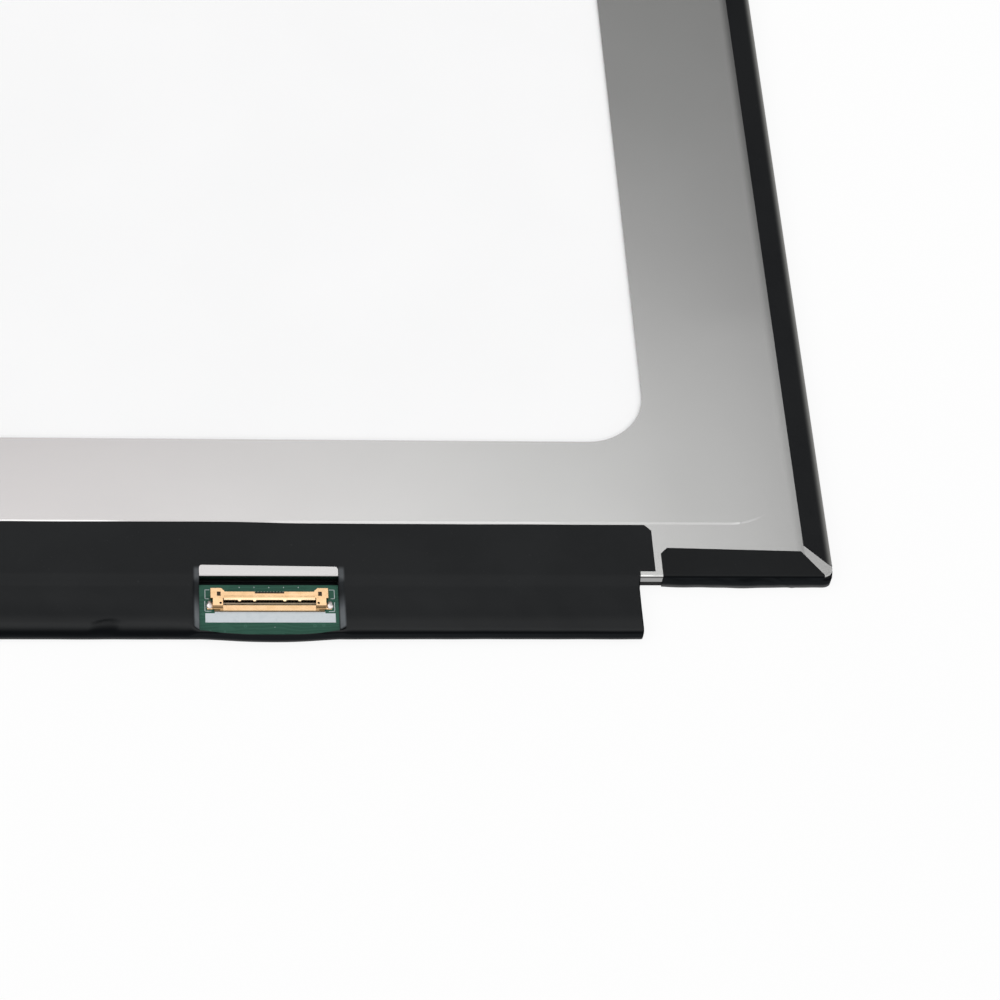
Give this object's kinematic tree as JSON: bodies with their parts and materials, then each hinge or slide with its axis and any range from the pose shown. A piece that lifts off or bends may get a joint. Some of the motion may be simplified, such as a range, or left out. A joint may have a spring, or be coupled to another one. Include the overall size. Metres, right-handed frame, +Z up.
{
  "type": "laptop screen panel",
  "caption": "Thin flat display module lying screen down, with a pressed metal rear cover and window, folded black edge tapes and a taped driver board with a cable socket along one edge.",
  "frame": {"origin": "under the middle of the whole outline, on the plane of the screen that it lies on", "axes": "+X along the width, +Y from the driver board's edge to the top edge, +Z up out of the rear"},
  "size_m": [0.3506, 0.2168, 0.003],
  "materials": {
    "screen_film": "anti-glare satin",
    "cell_glass": "clear, dark from the black matrix behind it",
    "inner_polariser": "satin",
    "black_tape": "satin black film",
    "black_moulding": "fine matte",
    "optical_film": "frosted",
    "light_guide": "clear acrylic",
    "reflector_white": "smooth white",
    "cover_metal": "rolled satin",
    "white_flex": "white cover layer",
    "led_body": "yellow phosphor in a white body",
    "chip_plastic": "moulded epoxy",
    "amber_film": "polyimide",
    "green_board": "green solder mask",
    "ferrite": "grey ferrite",
    "chip_ceramic": "tan ceramic",
    "ivory_plastic": "moulded",
    "socket_plastic": "moulded",
    "gold_plating": "gold flash",
    "tin_solder": "bright tin"
  },
  "bodies": {
    "root": {"front_polariser": "screen_film", "colour_filter_glass": "cell_glass", "tft_glass": "cell_glass", "rear_polariser": "inner_polariser", "rim_tape": "black_tape", "mould_frame": "black_moulding", "upper_prism_film": "optical_film", "lower_prism_film": "optical_film", "diffuser_film": "optical_film", "light_guide_plate": "light_guide", "reflector_sheet": "reflector_white", "led_flex": "white_flex", "led_packages": "led_body", "rear_cover": "cover_metal", "source_driver_chips": "chip_plastic", "panel_flexes": "amber_film", "driver_board": "green_board", "timing_controller": "chip_plastic", "power_converter": "chip_plastic", "backlight_driver": "chip_plastic", "power_inductors": "ferrite", "board_passives": "chip_ceramic", "led_flex_socket": "ivory_plastic", "connector_housing": "socket_plastic", "connector_shell": "gold_plating", "connector_contacts": "gold_plating", "connector_solder": "tin_solder", "board_cover_tape": "black_tape", "socket_window_tape": "black_tape", "edge_tape_right": "black_tape", "edge_tape_left": "black_tape", "edge_tape_top": "black_tape", "corner_tape_right": "black_tape", "corner_tape_left": "black_tape"}
  },
  "joints": []
}
